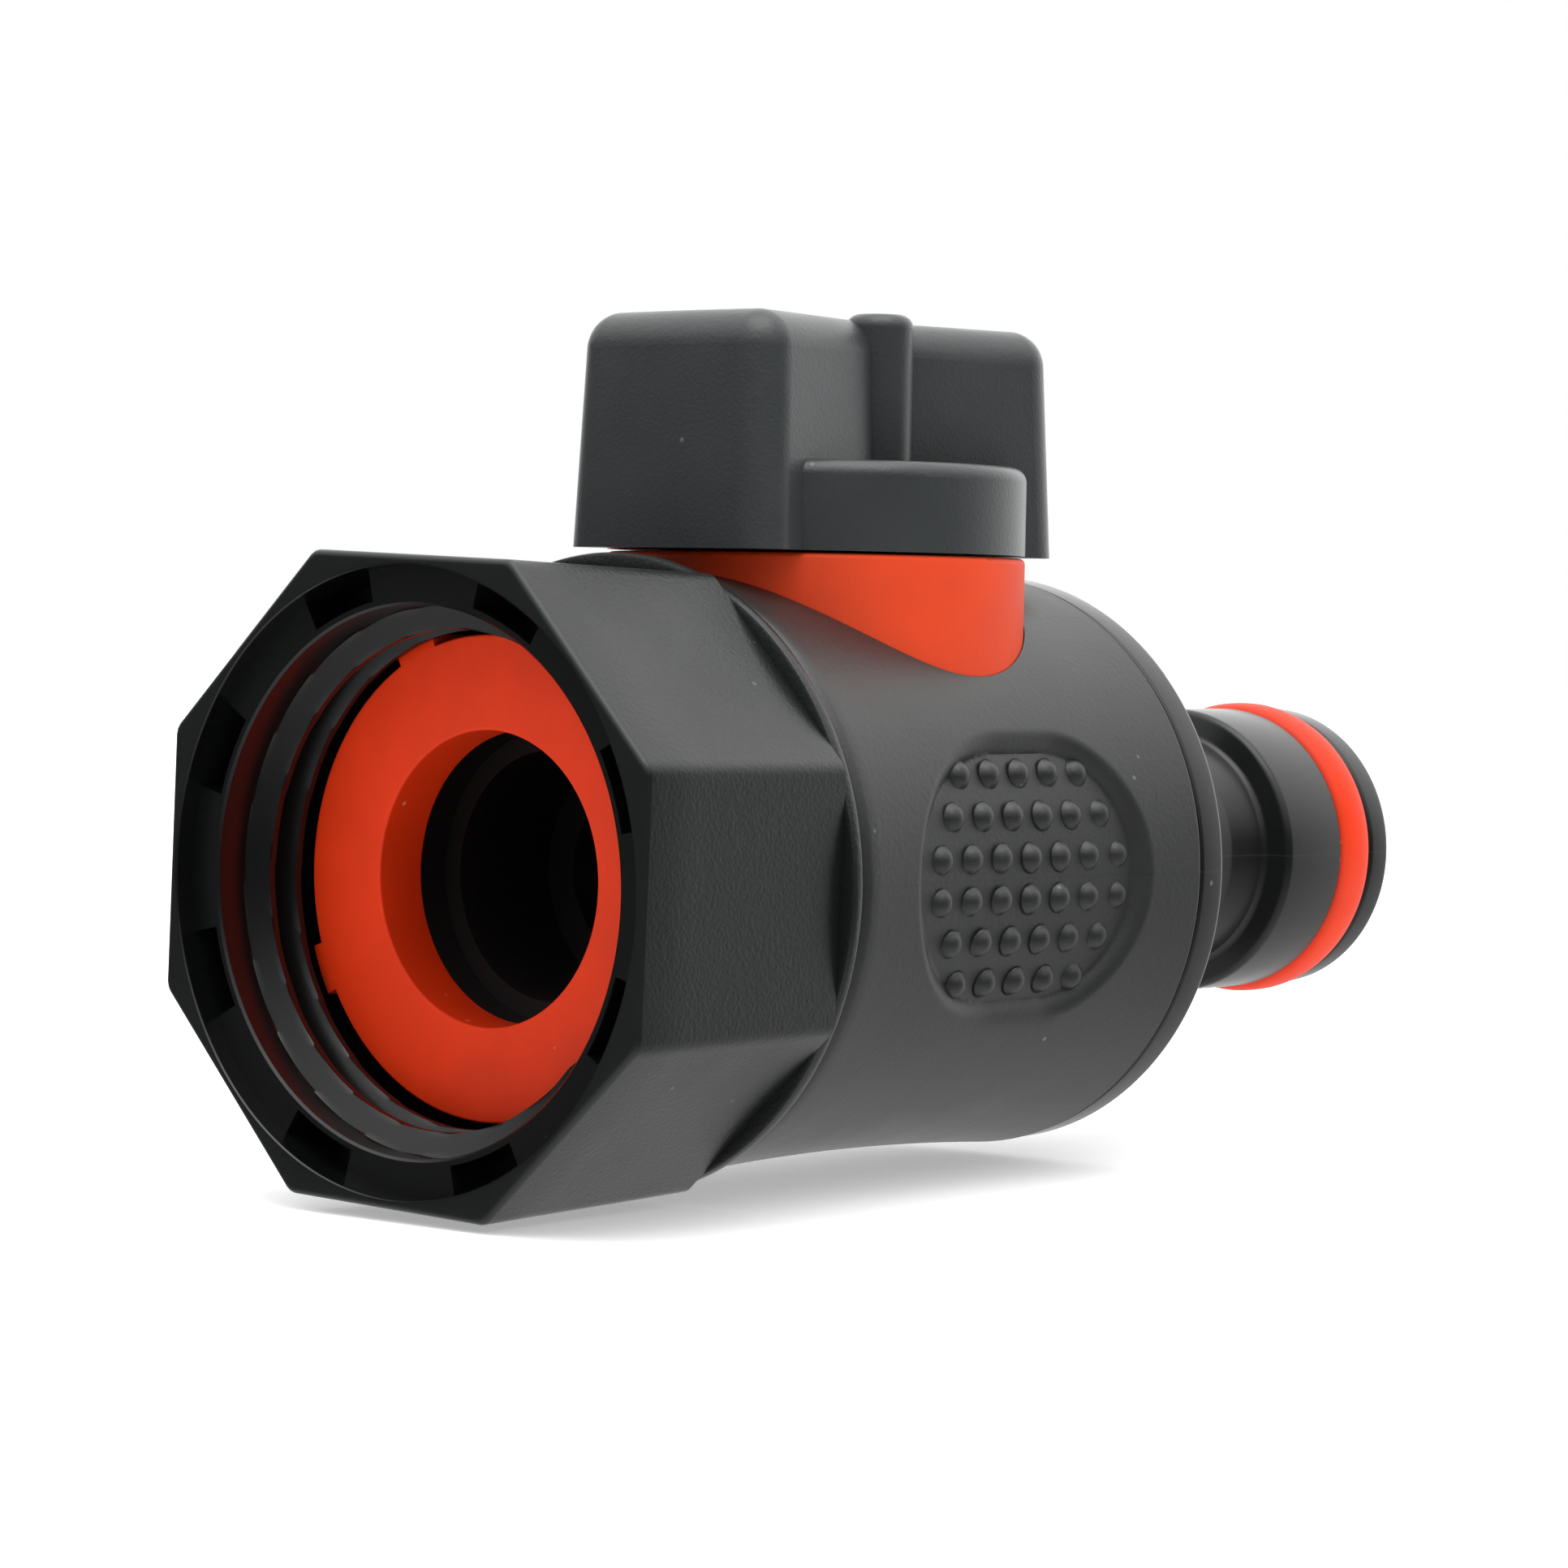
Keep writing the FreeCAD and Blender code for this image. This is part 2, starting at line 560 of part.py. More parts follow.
# ---- outlet nipple and its seals ----------------------------------------------------------------
def outlet_nipple():
    ring_floor = tip_ring_outer_r - tip_ring_section - fit_gap
    fillet_start = barrel_x - neck_fillet_length
    dip = neck_fillet_length / 2
    outline = [
        Part.makeLine(V(nipple_tail_x, 0, flow_bore_r), V(nipple_tail_x, 0, plug_r)),
        Part.makeLine(V(nipple_tail_x, 0, plug_r), V(rim_x, 0, plug_r)),
        Part.makeLine(V(rim_x, 0, plug_r), V(rim_x, 0, rim_r)),
        Part.makeLine(V(rim_x, 0, rim_r), V(rim_rear_x - rim_bevel, 0, rim_r)),
        Part.makeLine(V(rim_rear_x - rim_bevel, 0, rim_r), V(rim_rear_x, 0, rim_r - rim_bevel)),
        Part.makeLine(V(rim_rear_x, 0, rim_r - rim_bevel), V(rim_rear_x, 0, hub_r)),
        Part.makeLine(V(rim_rear_x, 0, hub_r), V(collar_x, 0, hub_rear_r)),
        Part.makeLine(V(collar_x, 0, hub_rear_r), V(collar_x, 0, collar_r)),
        Part.makeLine(V(collar_x, 0, collar_r), V(neck_x, 0, collar_r)),
        Part.makeLine(V(neck_x, 0, collar_r), V(neck_x, 0, neck_r)),
        Part.makeLine(V(neck_x, 0, neck_r), V(fillet_start, 0, neck_r)),
        Part.Arc(V(fillet_start, 0, neck_r), V(fillet_start + dip, 0, neck_r + 0.11),
                 V(barrel_x, 0, neck_end_r)).toShape(),
        Part.makeLine(V(barrel_x, 0, neck_end_r), V(barrel_x, 0, barrel_r)),
        Part.makeLine(V(barrel_x, 0, barrel_r), V(tip_ring_x, 0, barrel_r)),
        Part.makeLine(V(tip_ring_x, 0, barrel_r), V(tip_ring_x, 0, ring_floor)),
        Part.makeLine(V(tip_ring_x, 0, ring_floor), V(tip_land_x, 0, ring_floor)),
        Part.makeLine(V(tip_land_x, 0, ring_floor), V(tip_land_x, 0, barrel_r)),
        Part.makeLine(V(tip_land_x, 0, barrel_r), V(tip_x, 0, barrel_r)),
        Part.makeLine(V(tip_x, 0, barrel_r), V(tip_x, 0, flow_bore_r)),
        Part.makeLine(V(tip_x, 0, flow_bore_r), V(nipple_tail_x, 0, flow_bore_r)),
    ]
    nipple = Part.Face(Part.Wire(outline)).revolve(V(0, 0, 0), X, 360)
    return nipple.cut(plug_groove(nipple_ring_x))


save("outlet_nipple", outlet_nipple())
save("nipple_seal_o_ring", ring_x(nipple_ring_x, plug_ring_mean_r, plug_ring_section))
save("outlet_o_ring",
     ring_x(tip_ring_x + tip_ring_section / 2 + fit_gap, tip_ring_mean_r, tip_ring_section))
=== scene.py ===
import bpy
import math
from mathutils import Matrix, Vector


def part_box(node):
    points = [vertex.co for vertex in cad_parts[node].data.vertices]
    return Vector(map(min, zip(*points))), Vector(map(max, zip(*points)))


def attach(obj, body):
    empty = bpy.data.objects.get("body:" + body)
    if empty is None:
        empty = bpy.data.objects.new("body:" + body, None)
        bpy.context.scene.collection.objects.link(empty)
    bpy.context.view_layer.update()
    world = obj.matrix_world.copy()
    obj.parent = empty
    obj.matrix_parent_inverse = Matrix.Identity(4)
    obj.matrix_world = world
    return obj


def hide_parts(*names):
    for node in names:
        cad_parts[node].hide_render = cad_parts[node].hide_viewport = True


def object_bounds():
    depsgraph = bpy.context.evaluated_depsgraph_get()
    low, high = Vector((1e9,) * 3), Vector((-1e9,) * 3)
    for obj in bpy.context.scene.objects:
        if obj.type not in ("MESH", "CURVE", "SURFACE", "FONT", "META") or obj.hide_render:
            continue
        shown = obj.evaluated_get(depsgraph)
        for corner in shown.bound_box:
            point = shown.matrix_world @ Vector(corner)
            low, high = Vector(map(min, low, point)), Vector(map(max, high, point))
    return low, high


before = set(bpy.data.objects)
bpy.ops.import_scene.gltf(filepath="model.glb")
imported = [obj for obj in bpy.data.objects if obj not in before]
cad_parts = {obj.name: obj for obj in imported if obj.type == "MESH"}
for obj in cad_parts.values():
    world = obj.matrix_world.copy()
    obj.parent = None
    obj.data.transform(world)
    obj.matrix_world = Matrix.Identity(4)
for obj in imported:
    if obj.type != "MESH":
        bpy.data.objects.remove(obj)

cad_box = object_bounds()


# ---- outlet nipple: glossy black nylon moulding --------------------------------------------------
# The rim covers the grip's rear end; behind it come a hub, a collar, a waisted neck and the barrel
# that a hose connector clicks on to. It is one moulding, so a faint parting line runs along it, drawn
# lighter as a painted highlight.
def colour(text):
    """Linear colour from an sRGB hex code."""
    parts = [int(text[i:i + 2], 16) / 255 for i in (1, 3, 5)]
    return [p / 12.92 if p <= 0.04045 else ((p + 0.055) / 1.055) ** 2.4 for p in parts] + [1.0]


def add(tree, kind, inputs=None, **settings):
    """Adds a node; inputs maps a socket's name or number to a value or to the socket feeding it."""
    node = tree.nodes.new(kind)
    for key, value in settings.items():
        setattr(node, key, value)
    for key, value in (inputs or {}).items():
        if isinstance(value, bpy.types.NodeSocket):
            tree.links.new(value, node.inputs[key])
        else:
            node.inputs[key].default_value = value
    return node


def moulded(name, base, rough, grain_mm, grain_depth, mottle=0.06, specks=0.0, speck_base="#8a8f8f",
            shine=0.5):
    """Moulded plastic or rubber: an even colour, slight mottling, a fine grain and dust specks."""
    mottle_mm = 3.85
    dust_mm = 2.38
    patch_mm = 5.26
    material = bpy.data.materials.new(name)
    material.use_nodes = True
    tree = material.node_tree
    shader = tree.nodes["Principled BSDF"]
    place = add(tree, "ShaderNodeTexCoord").outputs["Object"]
    broad = add(tree, "ShaderNodeTexNoise", {"Vector": place, "Scale": 1000 / mottle_mm,
                                             "Detail": 3.0})
    level = add(tree, "ShaderNodeMapRange", {0: broad.outputs["Fac"], 1: 0.3, 2: 0.7, 3: 1 - mottle,
                                             4: 1 + mottle})
    tone = add(tree, "ShaderNodeVectorMath", {0: colour(base)[:3], "Scale": level.outputs[0]},
               operation="SCALE")
    dust = add(tree, "ShaderNodeTexVoronoi", {"Vector": place, "Scale": 1000 / dust_mm})
    dot = add(tree, "ShaderNodeMapRange", {0: dust.outputs["Distance"], 1: 0.07, 2: 0.03, 3: 0.0,
                                           4: specks})
    pick = add(tree, "ShaderNodeTexNoise", {"Vector": place, "Scale": 1000 / patch_mm, "Detail": 0.0})
    few = add(tree, "ShaderNodeMath", {0: pick.outputs["Fac"], 1: 0.6}, operation="GREATER_THAN")
    dusty = add(tree, "ShaderNodeMath", {0: dot.outputs[0], 1: few.outputs[0]}, operation="MULTIPLY")
    mix = add(tree, "ShaderNodeMix", {"Factor": dusty.outputs[0], "A": tone.outputs[0],
                                      "B": colour(speck_base)}, data_type="RGBA")
    grain = add(tree, "ShaderNodeTexNoise", {"Vector": place, "Scale": 1000 / grain_mm, "Detail": 2.0})
    bump = add(tree, "ShaderNodeBump", {"Height": grain.outputs["Fac"], "Strength": grain_depth,
                                        "Distance": 0.00005})
    patchy = add(tree, "ShaderNodeMapRange", {0: broad.outputs["Fac"], 3: rough - 0.05, 4: rough + 0.05})
    tree.links.new(mix.outputs["Result"], shader.inputs["Base Color"])
    tree.links.new(patchy.outputs[0], shader.inputs["Roughness"])
    tree.links.new(bump.outputs[0], shader.inputs["Normal"])
    shader.inputs["Specular IOR Level"].default_value = shine
    return material


def parting_line_and_highlight(material, half_mm=0.05, keep=0.72):
    """Scales the colour of a thin line where the two halves of the mould met, level with the flow axis:
    a keep below 1 darkens the joint, above 1 lightens it as a painted highlight.
    """
    tree = material.node_tree
    shader = tree.nodes["Principled BSDF"]
    source = shader.inputs["Base Color"].links[0].from_socket
    place = add(tree, "ShaderNodeTexCoord").outputs["Object"]
    level = add(tree, "ShaderNodeSeparateXYZ", {0: place}).outputs["Z"]
    off = add(tree, "ShaderNodeMath", {0: level}, operation="ABSOLUTE").outputs[0]
    fade = add(tree, "ShaderNodeMapRange", {0: off, 1: half_mm / 2000, 2: half_mm / 1000, 3: keep,
                                            4: 1.0}).outputs[0]
    lined = add(tree, "ShaderNodeVectorMath", {0: source, "Scale": fade}, operation="SCALE")
    tree.links.new(lined.outputs[0], shader.inputs["Base Color"])


def rounded(corners):
    """Points along an outline of (x, r, corner radius) with its corners rounded."""
    points = []
    steps = 6
    count = len(corners)
    for i in range(count):
        here = Vector(corners[i][:2])
        before = Vector(corners[i - 1][:2]) - here
        after = Vector(corners[(i + 1) % count][:2]) - here
        radius = corners[i][2]
        if not radius:
            points.append(here)
            continue
        half = before.angle(after) / 2
        back = min(radius / math.tan(half), before.length * 0.49, after.length * 0.49)
        start = here + before.normalized() * back
        end = here + after.normalized() * back
        for k in range(steps + 1):
            t = k / steps
            points.append(start * (1 - t) ** 2 + here * 2 * t * (1 - t) + end * t * t)
    return points


def piece(name, vertices, faces, material, angle=35):
    """Mesh object from millimetre vertices, smooth except across sharp angles."""
    mesh = bpy.data.meshes.new(name)
    mesh.from_pydata([[c / 1000 for c in v] for v in vertices], [], faces)
    mesh.validate()
    mesh.shade_smooth()
    mesh.set_sharp_from_angle(angle=math.radians(angle))
    mesh.materials.append(material)
    part = bpy.data.objects.new(name, mesh)
    bpy.context.scene.collection.objects.link(part)
    return part


def ring_mesh(rows, across):
    """Faces of a closed grid: rows of points round the axis, the last row joined to the first."""
    faces = []
    for i in range(rows):
        low = i * across
        high = (i + 1) % rows * across
        for j in range(across):
            k = (j + 1) % across
            faces.append((low + j, low + k, high + k, high + j))
    return faces


def turned(name, outline, material, across=192):
    """Ring about the flow axis from a closed outline of (x, r), clockwise seen with x to the right."""
    vertices = []
    for x, r in outline:
        for j in range(across):
            a = 2 * math.pi * j / across
            vertices.append((x, r * math.sin(a), r * math.cos(a)))
    return piece(name, vertices, ring_mesh(len(outline), across), material)


low, high = [c * 1000 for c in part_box("outlet_nipple")]
ring_low, ring_high = [c * 1000 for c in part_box("outlet_o_ring")]
grip_low, grip_high = [c * 1000 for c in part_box("grip_sleeve")]
nipple_tail_x = low.x
tip_x = high.x
bore_r = 4.5
plug_r = 8.55
fit_gap = 0.05
rim_x = grip_high.x + fit_gap
rim_r = high.z
rim_rear_x = rim_x + 2.3
hub_front_r = 9.6
hub_rear_r = 8.9
collar_r = 8.6
neck_r = 6.2
flare_r = 6.65
barrel_r = 8.1
barrel_x = ring_low.x - 5.45
collar_x = barrel_x - 10.8
neck_x = barrel_x - 8.9
flare_x = barrel_x - 3.0
ring_floor = ring_high.z - 2.95
groove_x = ring_low.x - fit_gap
groove_end_x = ring_high.x + fit_gap
# Each corner is (x, radius, rounding), from the plug in the body to the tip.
outline = [(nipple_tail_x, bore_r, 0), (nipple_tail_x, plug_r, 0.3), (rim_x, plug_r, 0),
           (rim_x, rim_r, 0.25), (rim_rear_x - 0.25, rim_r, 0.5), (rim_rear_x, rim_r - 0.9, 0.3),
           (rim_rear_x, hub_front_r, 0.35), (collar_x, hub_rear_r, 0.3), (collar_x, collar_r, 0.1),
           (neck_x, collar_r, 0.35), (neck_x, neck_r, 0.4), (flare_x, neck_r, 1.2),
           (barrel_x - 0.4, flare_r, 0.5), (barrel_x, barrel_r, 0.5), (groove_x, barrel_r, 0.3),
           (groove_x, ring_floor, 0.1), (groove_end_x, ring_floor, 0.1),
           (groove_end_x, barrel_r, 0.3), (tip_x, barrel_r, 0.5), (tip_x, bore_r, 0.4)]
# Glass-filled nylon from a polished mould: near black, glossy, with a few grains of dust.
black_gloss_nylon = moulded("black_gloss_nylon", "#131414", 0.25, 0.5, 0.05, mottle=0.1, specks=0.35)
# The nipple's parting line is drawn 2.2 times lighter than the nylon: a painted highlight along the
# mould joint.
parting_line_and_highlight(black_gloss_nylon, keep=2.2)
nipple = turned("outlet_nipple_visual", rounded(outline), black_gloss_nylon)
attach(nipple, "body")
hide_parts("outlet_nipple")


# ---- outlet O-ring: orange rubber ----------------------------------------------------------------
# A moulded ring that bulges a little flat out of its groove near the nipple's tip, with a thin flash
# line round its crown.
section = (ring_high.x - ring_low.x) / 2
ring_mid_x = (ring_high.x + ring_low.x) / 2
bulge = 0.1
flash = 0.03
squareness = 0.6    # 1 makes the section round, less makes it squarer
section_steps = 48
crown = section_steps // 4
outline = []
for k in range(section_steps):
    a = 2 * math.pi * k / section_steps
    flat = [math.copysign(abs(c) ** squareness, c) for c in (math.cos(a), math.sin(a))]
    lift = flash if abs(k - crown) <= 1 else 0
    outline.append((ring_mid_x + section * flat[0],
                    ring_high.z + bulge - section + (section + lift) * flat[1]))
# Silicone rubber dyed orange: soft sheen, pale dust caught on it.
orange_ring_rubber = moulded("orange_ring_rubber", "#dc3200", 0.5, 0.3, 0.08, specks=0.5,
                             speck_base="#ffb080", shine=0.3)
o_ring = turned("outlet_o_ring_visual", outline, orange_ring_rubber)
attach(o_ring, "body")
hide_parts("outlet_o_ring")


# ---- swivel nut: black ABS with a fine spark texture ---------------------------------------------
# Moulded in one piece and snapped over the spud: eight flats, a mouth with a notch behind each
# corner, a little more than a turn of the truncated 55 degree tap thread, and a thin rear flange.
def with_edges(marks, start, stop, step):
    """Angles from start to stop at the step, with a close pair at each marked angle."""
    angles = []
    count = round((stop - start) / step)
    for i in range(count):
        a = start + (stop - start) * i / count
        if all(abs(a - m) > step * 0.45 for m in marks):
            angles.append(a)
    half_edge = 0.06
    for m in marks:
        angles += [m - half_edge, m + half_edge]
    return sorted(angles)


nut_low, nut_high = [c * 1000 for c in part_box("swivel_nut")]
mouth_x = nut_low.x - 0.25
nut_rear_x = nut_high.x
across_flats = 31.2
rear_flats = 30.4
shoulder_flats = 30.6
front_flats = 31.0
flats_run = 3.6
front_bevel = 0.32
bevel_steps = 5
nut_turn = -1.8
flange_r = 16.0
flange_length = 0.8
counterbore_r = 15.1
thread_x = nut_low.x + 0.8
thread_end_x = -0.3
chamber_r = 13.2
shoulder_x = 5.3
shoulder_r = 9.65
notch_floor_x = thread_x + 2.5
notch_inner_r = 13.6
notch_fillet = 0.15
crest_r = 12.06
root_r = 13.22
pitch = 1.814
flank_angle = 27.5
crest_half = 0.2
first_crest_x = -2.57    # on the side towards +Y
thread_start = 250
run_in = 0.06            # share of a turn over which the thread rises from nothing
notch_half = 8.5


def wrapped(angles, rows, ahead=0):
    """Vertices of rows of (x, r) points that go round the flow axis, one point at each angle."""
    vertices = []
    for row in rows:
        for a, (x, r) in zip(angles, row):
            turn = math.radians(a + ahead)
            vertices.append((x, r * math.sin(turn), r * math.cos(turn)))
    return vertices


def octagon_r(angle, flats, corner_r=0.8):
    """Distance from the axis to a rounded octagon with a flat on top."""
    off = (angle + 22.5) % 45 - 22.5
    straight = flats / 2 / math.cos(math.radians(off))
    away = math.radians(22.5 - abs(off))
    centre = (flats / 2 - corner_r) / math.cos(math.radians(22.5))
    sideways = centre * math.sin(away)
    if sideways >= corner_r * math.sin(math.radians(22.5)):
        return straight
    return centre * math.cos(away) + math.sqrt(corner_r ** 2 - sideways ** 2)


def thread_r(x, angle):
    """Radius of the right-handed thread's surface; it starts low on the near side."""
    turn = (thread_start - angle) % 360 / 360
    first = first_crest_x + pitch * (turn - (thread_start - 90) / 360)
    if x > first:
        off = abs((x - first + pitch / 2) % pitch - pitch / 2)
    else:
        off = first - x
    flank = (root_r - crest_r) * math.tan(math.radians(flank_angle))
    rise = min(max(1 - (off - crest_half) / flank, 0), 1)
    if x - first < pitch / 2:
        rise *= min(turn / run_in, 1)
    return root_r - (root_r - crest_r) * rise


marks = [45 * i + 22.5 + side * notch_half for i in range(8) for side in (-1, 1)]
angles = with_edges(marks, 0, 360, 0.9)    # degrees between the nut's columns of points
in_notch = [abs(a % 45 - 22.5) < notch_half for a in angles]
rows = []
rear_flat_x = nut_rear_x - flange_length
for x, flats in ((rear_flat_x, rear_flats), (rear_flat_x - flats_run, shoulder_flats),
                 (mouth_x + flats_run, front_flats), (mouth_x + front_bevel, across_flats)):
    rows.append([(x, octagon_r(a, flats)) for a in angles])
for k in range(1, bevel_steps + 1):
    t = math.radians(90 * k / bevel_steps)
    flats = across_flats - 2 * front_bevel * (1 - math.cos(t))
    rows.append([(mouth_x + front_bevel * (1 - math.sin(t)), octagon_r(a, flats)) for a in angles])
mouth_chamfer = 0.08
rows.append([(mouth_x, counterbore_r + mouth_chamfer * 0.75) for a in angles])
rows.append([(mouth_x + mouth_chamfer, counterbore_r) for a in angles])
rows.append([(thread_x - 0.1, counterbore_r) for a in angles])
for r in (counterbore_r, counterbore_r - notch_fillet, notch_inner_r + notch_fillet, notch_inner_r):
    rows.append([(notch_floor_x if n else thread_x, r) for n in in_notch])
rows.append([(thread_x, notch_inner_r) for a in angles])
thread_bevel = 0.12
rows.append([(thread_x, root_r + thread_bevel) for a in angles])
rows.append([(thread_x + thread_bevel, root_r) for a in angles])
thread_rows = 56
thread_run = thread_end_x - thread_x - thread_bevel
for k in range(1, thread_rows + 1):
    x = thread_x + thread_bevel + thread_run * k / thread_rows
    rows.append([(x, thread_r(x, a)) for a in angles])
edge = 0.2
turn_in = 0.06    # how far an edge's middle point lies inside its corner
for x, r in ((thread_end_x, chamber_r + 0.05), (shoulder_x, chamber_r), (shoulder_x, shoulder_r),
             (nut_rear_x, shoulder_r), (nut_rear_x, flange_r - edge),
             (nut_rear_x - turn_in, flange_r - turn_in), (nut_rear_x - edge, flange_r),
             (rear_flat_x + edge, flange_r), (rear_flat_x + turn_in, flange_r - turn_in),
             (rear_flat_x, flange_r - edge)):
    rows.append([(x, r) for a in angles])
# ABS moulded against a spark-eroded steel: black, with a fine even grain that breaks up its gloss.
# The grain is drawn 0.22 mm wide, coarser than it really is, so that it shows.
black_spark_abs = moulded("black_spark_abs", "#131515", 0.33, 0.22, 0.5, specks=0.3, shine=0.5)
# Only the outside is spark textured: the rim is smooth and glossier, and so is the inside. The inside's
# colour is also halved: painted shade in the nut's mouth and thread.
inside_r = 0.0152
tree = black_spark_abs.node_tree
shader = tree.nodes["Principled BSDF"]
spot = add(tree, "ShaderNodeSeparateXYZ", {0: add(tree, "ShaderNodeTexCoord").outputs["Object"]}).outputs
across = add(tree, "ShaderNodeCombineXYZ", {1: spot["Y"], 2: spot["Z"]}).outputs[0]
reach = add(tree, "ShaderNodeVectorMath", {0: across}, operation="LENGTH").outputs["Value"]
inner = add(tree, "ShaderNodeMath", {0: reach, 1: inside_r}, operation="LESS_THAN").outputs[0]
front = add(tree, "ShaderNodeMath", {0: spot["X"], 1: (mouth_x + front_bevel) / 1000},
            operation="LESS_THAN").outputs[0]
smooth_part = add(tree, "ShaderNodeMath", {0: inner, 1: front}, operation="MAXIMUM").outputs[0]
rough = shader.inputs["Roughness"].links[0].from_socket
glossier = add(tree, "ShaderNodeMix", {"Factor": smooth_part, "A": rough, "B": 0.27}).outputs["Result"]
tree.links.new(glossier, shader.inputs["Roughness"])
skin = shader.inputs["Base Color"].links[0].from_socket
# Painted shade: the base colour inside the nut (counterbore, notches, thread) is halved.
inside_painted_shade = add(tree, "ShaderNodeMapRange", {0: inner, 3: 1.0, 4: 0.5}).outputs[0]
shaded = add(tree, "ShaderNodeVectorMath", {0: skin, "Scale": inside_painted_shade}, operation="SCALE").outputs[0]
tree.links.new(shaded, shader.inputs["Base Color"])
calm = add(tree, "ShaderNodeMapRange", {0: smooth_part, 3: 0.5, 4: 0.06}).outputs[0]
tree.links.new(calm, shader.inputs["Normal"].links[0].from_node.inputs["Strength"])
nut = piece("swivel_nut_visual", wrapped(angles, rows, nut_turn), ring_mesh(len(rows), len(angles)),
            black_spark_abs, 28)
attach(nut, "nut")
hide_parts("swivel_nut")


# ---- inlet washer: orange-red rubber -------------------------------------------------------------
# A flat moulded ring with slightly rounded edges. Four short tabs spring in behind the thread and
# hold it in the nut.
washer_low, washer_high = [c * 1000 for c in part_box("inlet_washer")]
washer_x = washer_high.x
washer_r = 11.85
washer_bore_r = 7.2
washer_edge = 0.15
tab_r = 12.4
tab_angle = 24.5
tab_width = 2.5
tab_mid_r = 12.0
tab_half = math.degrees(math.asin(tab_width / 2 / tab_mid_r))
tab_marks = [tab_angle + 90 * i + side * tab_half for i in range(4) for side in (-1, 1)]
angles = with_edges(tab_marks, 0, 360, 1.5)
in_tab = [abs((a - tab_angle + 45) % 90 - 45) < tab_half for a in angles]
outline = rounded([(0, washer_bore_r, washer_edge), (0, washer_r, washer_edge),
                   (washer_x, washer_r, washer_edge), (washer_x, washer_bore_r, washer_edge)])
rows = []
for x, r in outline:
    reach = tab_r - washer_r if r > washer_r - 0.1 else 0
    rows.append([(x, r + (reach if t else 0)) for t in in_tab])
# Filled rubber, die-moulded: duller than the O-ring, with pale dust on its face.
orange_washer_rubber = moulded("orange_washer_rubber", "#d43000", 0.6, 0.35, 0.1, specks=0.55,
                               speck_base="#f7a184", shine=0.25)
washer = piece("inlet_washer_visual", wrapped(angles, rows), ring_mesh(len(rows), len(angles)),
               orange_washer_rubber)
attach(washer, "body")
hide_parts("inlet_washer")


# ---- grip sleeve: soft dark grey elastomer -------------------------------------------------------
# A slightly waisted sleeve moulded over the body. On each side a D-shaped thumb pad is sunk
# 0.7 mm, its rim rolling in over a millimetre. The turret comes up through a hole in the top.
ball_low, ball_high = [c * 1000 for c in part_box("valve_ball")]
stem_x = (ball_low.x + ball_high.x) / 2
front_x = grip_low.x
rear_x = grip_high.x
grip_inner_r = 13.0
grip_core_r = 9.4
grip_wall_x = front_x + 1.1
front_r = 15.3
waist_r = 14.92
lip_r = 15.43
front_edge = 0.8
rear_edge = 0.3
pad_depth = 0.7
pad_rim = 0.95
pad_high = 7.5
pad_front_straight = 1.0    # the pad's edge is straight between these two, level with the stem
pad_rear_straight = 2.8
pad_front_reach = 10.0
pad_rear_reach = 9.6
pad_roll = 1.8    # above 1, the pad's rim starts level with the skin and steepens inwards
turret_hole_r = 10.96
crease_angle = 40


def grip_r(x):
    """Radius of the grip's skin: a shallow curve through its front, waist and lip."""
    a = front_x + front_edge
    b = stem_x + 1
    c = rear_x - rear_edge
    front = front_r * (x - b) * (x - c) / ((a - b) * (a - c))
    middle = waist_r * (x - a) * (x - c) / ((b - a) * (b - c))
    return front + middle + lip_r * (x - a) * (x - b) / ((c - a) * (c - b))


def pad_drop(x, z):
    """How far the skin sinks at one place in the pad."""
    along = x - stem_x
    reach = pad_rear_reach - pad_rear_straight
    u = 0
    if along < -pad_front_straight:
        reach = pad_front_reach - pad_front_straight
        u = (along + pad_front_straight) / reach
    elif along > pad_rear_straight:
        u = (along - pad_rear_straight) / reach
    v = z / pad_high
    level = math.sqrt(u * u + v * v)
    if level >= 1:
        return 0
    steep = math.sqrt((u / reach) ** 2 + (v / pad_high) ** 2) / max(level, 1e-6)
    inside = min((1 - level) / max(steep, 0.05) / pad_rim, 1)
    return pad_depth * inside ** pad_roll


# The skin's points are close together on the pads and far apart elsewhere.
fine_step = 0.13
coarse_step = 0.7
skin_x = []
x = front_x + front_edge
while x < rear_x - rear_edge - 0.05:
    skin_x.append(x)
    near_pad = -pad_front_reach - 0.4 < x - stem_x < pad_rear_reach + 0.2
    x += fine_step if near_pad else coarse_step
skin_x.append(rear_x - rear_edge)
fine_angle = 0.5
coarse_angle = 2.0
pad_half_angle = 31
angles = []
a = 0.0
while a < 359.9:
    angles.append(a)
    near_pad = abs(a - 90) < pad_half_angle or abs(a - 270) < pad_half_angle
    a += fine_angle if near_pad else coarse_angle
rows = []
for degrees in range(90, -1, -15):
    t = math.radians(degrees)
    rows.append([(front_x + front_edge * (1 - math.sin(t)),
                  front_r - front_edge + front_edge * math.cos(t))] * len(angles))
for x in skin_x[1:]:
    row = []
    for a in angles:
        r = grip_r(x)
        z = r * math.cos(math.radians(a))
        row.append((x, r - (pad_drop(x, z) if abs(z) < pad_high else 0)))
    rows.append(row)
for x, r in ((rear_x - 0.1, lip_r - 0.1), (rear_x, lip_r - rear_edge), (rear_x, grip_inner_r),
             (grip_wall_x, grip_inner_r), (grip_wall_x, grip_core_r), (front_x, grip_core_r)):
    rows.append([(x, r)] * len(angles))
